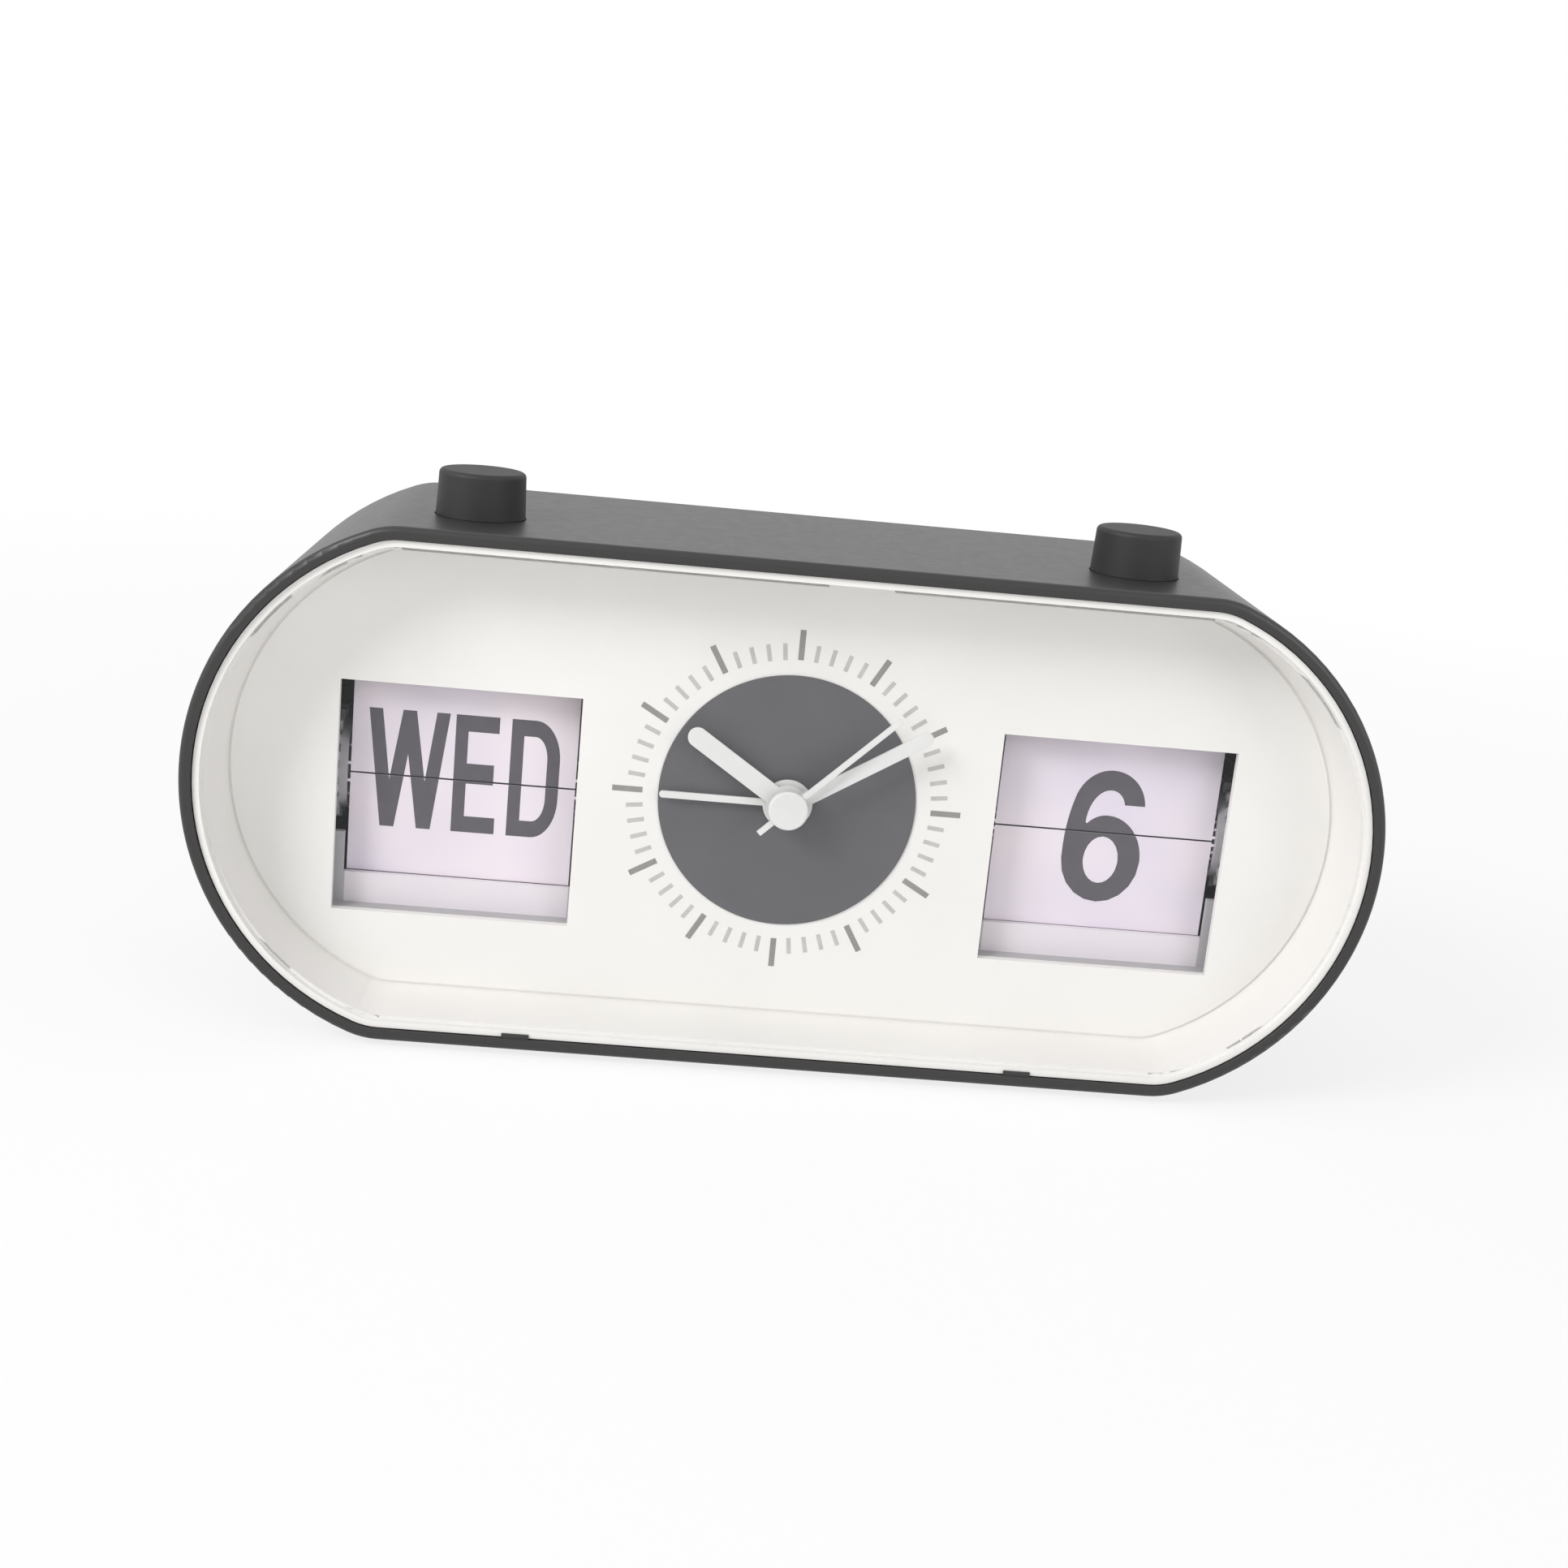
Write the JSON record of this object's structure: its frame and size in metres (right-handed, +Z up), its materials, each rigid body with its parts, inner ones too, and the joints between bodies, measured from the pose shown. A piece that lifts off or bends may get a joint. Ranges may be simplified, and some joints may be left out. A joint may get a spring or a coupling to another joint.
{
  "type": "table alarm clock with flip calendar",
  "caption": "Low oval table alarm clock with a round dial between two windows of a flip day and date calendar, two top buttons, rear setting knobs and a battery bay.",
  "frame": {"origin": "bottom centre of the bounding box, on the table under the feet", "axes": "+X to the right seen from the front, +Y from the dial towards the rear cover, +Z up"},
  "size_m": [0.2008, 0.065, 0.0963],
  "materials": {
    "black_plastic": "fine matt grain",
    "button_plastic": "satin",
    "clear_plastic": "polished, clear",
    "white_plastic": "satin",
    "grey_paint": "matt",
    "white_paint": "satin",
    "leaf_plastic": "matt",
    "grey_plastic": "satin",
    "frame_plastic": "satin",
    "gear_plastic": "satin",
    "steel": "bright",
    "copper_wire": "wound, varnished",
    "board": "satin",
    "cell_jacket": "gloss",
    "sounder_metal": "satin",
    "rubber": "matt"
  },
  "bodies": {
    "case": {"case_shell": "black_plastic", "front_lens": "clear_plastic", "inner_bezel": "white_plastic", "dial_plate": "white_plastic", "dial_centre_disc": "grey_paint", "rear_cover": "black_plastic", "rear_screws": "steel", "rubber_feet": "rubber", "sounder": "sounder_metal", "inner_screws": "steel", "switch_boards": "board", "button_switches": "button_plastic", "alarm_button_spring": "steel", "snooze_button_spring": "steel", "movement_front_plate": "grey_plastic", "train_bridge": "grey_plastic", "movement_rear_case": "grey_plastic", "stator": "steel", "coil": "copper_wire", "circuit_board": "board", "battery_holder": "black_plastic", "battery_cell": "cell_jacket", "battery_contact_plate": "steel", "battery_contact_spring": "steel", "day_frame": "frame_plastic", "day_axle": "steel", "day_leaf_catch": "steel", "date_frame": "frame_plastic", "date_axle": "steel", "date_leaf_catch": "steel"},
    "alarm_push": {"alarm_button": "button_plastic"},
    "snooze_push": {"snooze_button": "button_plastic"},
    "minute": {"minute_hand": "white_paint", "minute_pipe": "gear_plastic"},
    "hour": {"hour_hand": "white_paint", "hour_wheel": "gear_plastic"},
    "motion": {"motion_wheel": "gear_plastic", "time_set_knob": "button_plastic"},
    "second": {"second_hand": "white_paint", "second_wheel": "gear_plastic"},
    "third": {"third_wheel": "gear_plastic"},
    "centre": {"centre_wheel": "gear_plastic"},
    "intermediate": {"intermediate_wheel": "gear_plastic"},
    "magnet": {"rotor": "gear_plastic"},
    "alarm_pointer": {"alarm_hand": "white_paint", "alarm_wheel": "gear_plastic"},
    "alarm_setter": {"alarm_set_shaft": "gear_plastic", "alarm_set_knob": "button_plastic"},
    "door": {"battery_door": "black_plastic"},
    "day_wheel": {"day_drum": "white_plastic", "day_drum_end": "white_plastic", "day_leaves": "leaf_plastic"},
    "day_flap": {"day_flip_leaf": "leaf_plastic"},
    "day_setter": {"day_thumbwheel": "button_plastic"},
    "date_wheel": {"date_drum": "white_plastic", "date_drum_end": "white_plastic", "date_leaves": "leaf_plastic"},
    "date_flap": {"date_flip_leaf": "leaf_plastic"},
    "date_setter": {"date_thumbwheel": "button_plastic"}
  },
  "joints": [
    {"name": "alarm_button_press", "type": "slide", "parent": "case", "child": "alarm_push", "axis": [0, 0, -1], "range_m": [0, 0.0011], "stiffness_N_per_m": 300, "springref_m": -0.001, "deforming": ["alarm_button_spring"]},
    {"name": "snooze_button_press", "type": "slide", "parent": "case", "child": "snooze_push", "axis": [0, 0, -1], "range_m": [0, 0.0011], "stiffness_N_per_m": 300, "springref_m": -0.001, "deforming": ["snooze_button_spring"]},
    {"name": "minute_turn", "type": "hinge", "parent": "case", "child": "minute", "pos_m": [0, -0.0115, 0.04495], "axis": [0, 1, 0], "continuous": true},
    {"name": "hour_turn", "type": "hinge", "parent": "case", "child": "hour", "pos_m": [0, -0.0115, 0.04495], "axis": [0, 1, 0], "continuous": true},
    {"name": "motion_turn", "type": "hinge", "parent": "case", "child": "motion", "pos_m": [0.012, -0.0115, 0.04495], "axis": [0, 1, 0], "continuous": true},
    {"name": "second_turn", "type": "hinge", "parent": "case", "child": "second", "pos_m": [0, -0.0115, 0.04495], "axis": [0, 1, 0], "continuous": true},
    {"name": "third_turn", "type": "hinge", "parent": "case", "child": "third", "pos_m": [0, -0.0115, 0.05395], "axis": [0, 1, 0], "continuous": true},
    {"name": "centre_turn", "type": "hinge", "parent": "case", "child": "centre", "pos_m": [0, -0.0115, 0.04495], "axis": [0, 1, 0], "continuous": true},
    {"name": "intermediate_turn", "type": "hinge", "parent": "case", "child": "intermediate", "pos_m": [0, -0.0115, 0.03595], "axis": [0, 1, 0], "continuous": true},
    {"name": "rotor_turn", "type": "hinge", "parent": "case", "child": "magnet", "pos_m": [0, -0.0115, 0.03035], "axis": [0, 1, 0], "continuous": true},
    {"name": "alarm_turn", "type": "hinge", "parent": "case", "child": "alarm_pointer", "pos_m": [0, -0.0115, 0.04495], "axis": [0, 1, 0], "continuous": true},
    {"name": "alarm_set_turn", "type": "hinge", "parent": "case", "child": "alarm_setter", "pos_m": [-0.012, -0.0115, 0.04495], "axis": [0, 1, 0], "continuous": true},
    {"name": "day_drum_turn", "type": "hinge", "parent": "case", "child": "day_wheel", "pos_m": [-0.056, -0.0053, 0.04235], "axis": [1, 0, 0], "range_deg": [0, 25.71]},
    {"name": "day_leaf_flip", "type": "hinge", "parent": "day_wheel", "child": "day_flap", "pos_m": [-0.056, -0.01212, 0.04391], "axis": [1, 0, 0], "range_deg": [0, 154.3]},
    {"name": "day_wheel_turn", "type": "hinge", "parent": "case", "child": "day_setter", "pos_m": [-0.056, 0.0152, 0.04235], "axis": [1, 0, 0], "range_deg": [-20.13, 0]},
    {"name": "date_drum_turn", "type": "hinge", "parent": "case", "child": "date_wheel", "pos_m": [0.0567, -0.0053, 0.04235], "axis": [1, 0, 0], "range_deg": [0, 11.61]},
    {"name": "date_leaf_flip", "type": "hinge", "parent": "date_wheel", "child": "date_flap", "pos_m": [0.0567, -0.01226, 0.04306], "axis": [1, 0, 0], "range_deg": [0, 168.4]},
    {"name": "date_wheel_turn", "type": "hinge", "parent": "case", "child": "date_setter", "pos_m": [0.0567, 0.0152, 0.04235], "axis": [1, 0, 0], "range_deg": [-9.1, 0]},
    {"name": "battery_door_slide", "type": "slide", "parent": "case", "child": "door", "axis": [0, 1, 0], "range_m": [0, 0.02]}
  ],
  "couplings": [
    {"joint": "motion_turn", "follows": "minute_turn", "ratio": -0.33333},
    {"joint": "hour_turn", "follows": "minute_turn", "ratio": 0.083333},
    {"joint": "third_turn", "follows": "second_turn", "ratio": -0.13333},
    {"joint": "centre_turn", "follows": "second_turn", "ratio": 0.016667},
    {"joint": "intermediate_turn", "follows": "second_turn", "ratio": -5},
    {"joint": "rotor_turn", "follows": "second_turn", "ratio": 30},
    {"joint": "alarm_set_turn", "follows": "alarm_turn", "ratio": -2},
    {"joint": "day_leaf_flip", "follows": "day_drum_turn", "ratio": 6},
    {"joint": "day_wheel_turn", "follows": "day_drum_turn", "ratio": -0.78261},
    {"joint": "date_leaf_flip", "follows": "date_drum_turn", "ratio": 14.5},
    {"joint": "date_wheel_turn", "follows": "date_drum_turn", "ratio": -0.78261}
  ]
}
